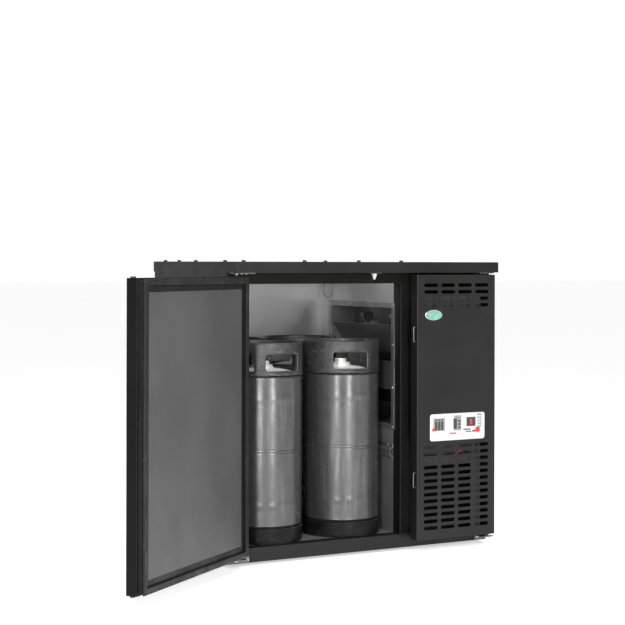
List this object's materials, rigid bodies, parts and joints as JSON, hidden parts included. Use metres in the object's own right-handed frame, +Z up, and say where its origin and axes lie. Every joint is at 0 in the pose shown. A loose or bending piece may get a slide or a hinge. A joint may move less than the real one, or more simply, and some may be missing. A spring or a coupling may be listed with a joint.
{
  "type": "kegerator",
  "caption": "Back-bar keg cooler: insulated keg room with a hinged door, louvred service panel over the cooling unit, worktop, evaporator with fans and kegs that slide out.",
  "frame": {"origin": "centre of the front left levelling foot's pad, on the floor", "axes": "+X right along the front, +Y towards the back, +Z up; the doors are on the -Y side"},
  "size_m": [1.388, 0.9491, 0.885],
  "materials": {
    "painted_panel": "black baked enamel, lightly pebbled, semi-matte",
    "galvanised": "galvanised sheet, dull",
    "room_lining": "plain satin steel sheet",
    "foam": "rigid polyurethane foam",
    "black_trim": "black extruded PVC",
    "gasket": "soft magnetic vinyl gasket",
    "plug_black": "black nylon plug",
    "zinc": "zinc plated",
    "black_steel": "black powder coat",
    "pin_steel": "bright steel pin",
    "nylon": "nylon bush",
    "white_plastic": "white moulded plastic",
    "door_lining": "grey smooth sheet",
    "badge": "pale green domed resin",
    "label": "printed film",
    "aluminium": "mill finish",
    "black_fins": "epoxy coated fins",
    "fan_black": "glass filled nylon",
    "compressor_black": "black enamel",
    "copper": "copper tube",
    "grey_steel": "grey sheet",
    "red_plastic": "red rocker",
    "knob_black": "black knob",
    "keg_steel": "stainless steel, brushed round",
    "keg_rubber": "scuffed black moulded rubber",
    "foot_grey": "black nylon pad on a steel stud"
  },
  "bodies": {
    "cabinet": {"air_baffles": "room_lining", "back_panel": "galvanised", "base_tray": "painted_panel", "bumper_rail": "room_lining", "cable_gland": "fan_black", "catch_housing": "nylon", "compressor": "compressor_black", "condenser_coil": "black_fins", "condenser_motor": "compressor_black", "condenser_shroud": "grey_steel", "control_box": "grey_steel", "door_hinge_brackets": "zinc", "evaporator_coil": "black_fins", "evaporator_frame": "room_lining", "evaporator_housing": "room_lining", "fan_frames": "fan_black", "fan_guards": "black_steel", "fan_plate": "room_lining", "filter_drier": "copper", "front_frame": "painted_panel", "hinge_pins": "pin_steel", "inner_liner": "room_lining", "insulation": "foam", "jamb_trim": "black_trim", "left_side_panel": "painted_panel", "panel_hinge_brackets": "zinc", "refrigerant_pipes": "copper", "right_side_panel": "painted_panel", "service_frame": "grey_steel", "worktop": "painted_panel", "worktop_core": "foam", "worktop_plugs": "plug_black"},
    "door": {"door_skin": "painted_panel", "door_foam": "foam", "door_breaker": "black_trim", "door_liner": "door_lining", "door_gasket": "gasket", "door_bushes": "nylon"},
    "service_door": {"service_panel": "painted_panel", "badge": "badge", "control_label": "label", "panel_catches": "zinc"},
    "catch_bolt": {"catch_plunger": "white_plastic"},
    "condenser_rotor": {"condenser_fan": "aluminium"},
    "evaporator_rotor_front": {"evaporator_fan_front": "fan_black"},
    "evaporator_rotor_rear": {"evaporator_fan_rear": "fan_black"},
    "rocker": {"power_switch": "red_plastic"},
    "knob": {"thermostat_knob": "knob_black"},
    "levelling_front_left": {"foot_front_left": "foot_grey"},
    "keg_front_left": {"keg_front_left_steel": "keg_steel", "keg_front_left_rubber": "keg_rubber"},
    "levelling_front_right": {"foot_front_right": "foot_grey"},
    "keg_front_right": {"keg_front_right_steel": "keg_steel", "keg_front_right_rubber": "keg_rubber"},
    "levelling_rear_left": {"foot_rear_left": "foot_grey"},
    "keg_rear_left": {"keg_rear_left_steel": "keg_steel", "keg_rear_left_rubber": "keg_rubber"},
    "levelling_rear_right": {"foot_rear_right": "foot_grey"},
    "keg_rear_right": {"keg_rear_right_steel": "keg_steel", "keg_rear_right_rubber": "keg_rubber"}
  },
  "joints": [
    {"name": "door_hinge", "type": "hinge", "parent": "cabinet", "child": "door", "pos_m": [-0.074, -0.1335, 0.438], "axis": [0, 0, -1], "range_deg": [-143, 37]},
    {"name": "service_door_hinge", "type": "hinge", "parent": "cabinet", "child": "service_door", "pos_m": [0.808, -0.1335, 0.438], "axis": [0, 0, 1], "range_deg": [0, 110]},
    {"name": "catch_slide", "type": "slide", "parent": "cabinet", "child": "catch_bolt", "axis": [0, 0, 1], "range_m": [0, 0.016], "stiffness_N_per_m": 300, "springref_m": -0.008},
    {"name": "condenser_fan_spin", "type": "hinge", "parent": "cabinet", "child": "condenser_rotor", "pos_m": [0.675, -0.02, 0.163], "axis": [0, 1, 0], "continuous": true},
    {"name": "evaporator_fan_front_spin", "type": "hinge", "parent": "cabinet", "child": "evaporator_rotor_front", "pos_m": [0.6045, 0.06, 0.6655], "axis": [1, 0, 0], "continuous": true},
    {"name": "evaporator_fan_rear_spin", "type": "hinge", "parent": "cabinet", "child": "evaporator_rotor_rear", "pos_m": [0.6045, 0.236, 0.6655], "axis": [1, 0, 0], "continuous": true},
    {"name": "power_switch_rock", "type": "hinge", "parent": "cabinet", "child": "rocker", "pos_m": [0.732, -0.08, 0.292], "axis": [1, 0, 0], "range_deg": [0, 18]},
    {"name": "thermostat_turn", "type": "hinge", "parent": "cabinet", "child": "knob", "pos_m": [0.615, -0.084, 0.372], "axis": [0, 1, 0], "range_deg": [0, 270]},
    {"name": "foot_front_left_screw", "type": "slide", "parent": "cabinet", "child": "levelling_front_left", "axis": [0, 0, -1], "range_m": [0, 0.02]},
    {"name": "foot_front_right_screw", "type": "slide", "parent": "cabinet", "child": "levelling_front_right", "axis": [0, 0, -1], "range_m": [0, 0.02]},
    {"name": "foot_rear_left_screw", "type": "slide", "parent": "cabinet", "child": "levelling_rear_left", "axis": [0, 0, -1], "range_m": [0, 0.02]},
    {"name": "foot_rear_right_screw", "type": "slide", "parent": "cabinet", "child": "levelling_rear_right", "axis": [0, 0, -1], "range_m": [0, 0.02]},
    {"name": "keg_front_left_slide", "type": "slide", "parent": "cabinet", "child": "keg_front_left", "axis": [0, -1, 0], "range_m": [0, 0.55]},
    {"name": "keg_front_right_slide", "type": "slide", "parent": "cabinet", "child": "keg_front_right", "axis": [0, -1, 0], "range_m": [0, 0.55]},
    {"name": "keg_rear_left_slide", "type": "slide", "parent": "cabinet", "child": "keg_rear_left", "axis": [0, -1, 0], "range_m": [0, 0.55]},
    {"name": "keg_rear_right_slide", "type": "slide", "parent": "cabinet", "child": "keg_rear_right", "axis": [0, -1, 0], "range_m": [0, 0.55]}
  ],
  "couplings": [
    {"joint": "keg_rear_left_slide", "follows": "keg_front_left_slide", "ratio": 1},
    {"joint": "keg_rear_right_slide", "follows": "keg_front_right_slide", "ratio": 1}
  ]
}
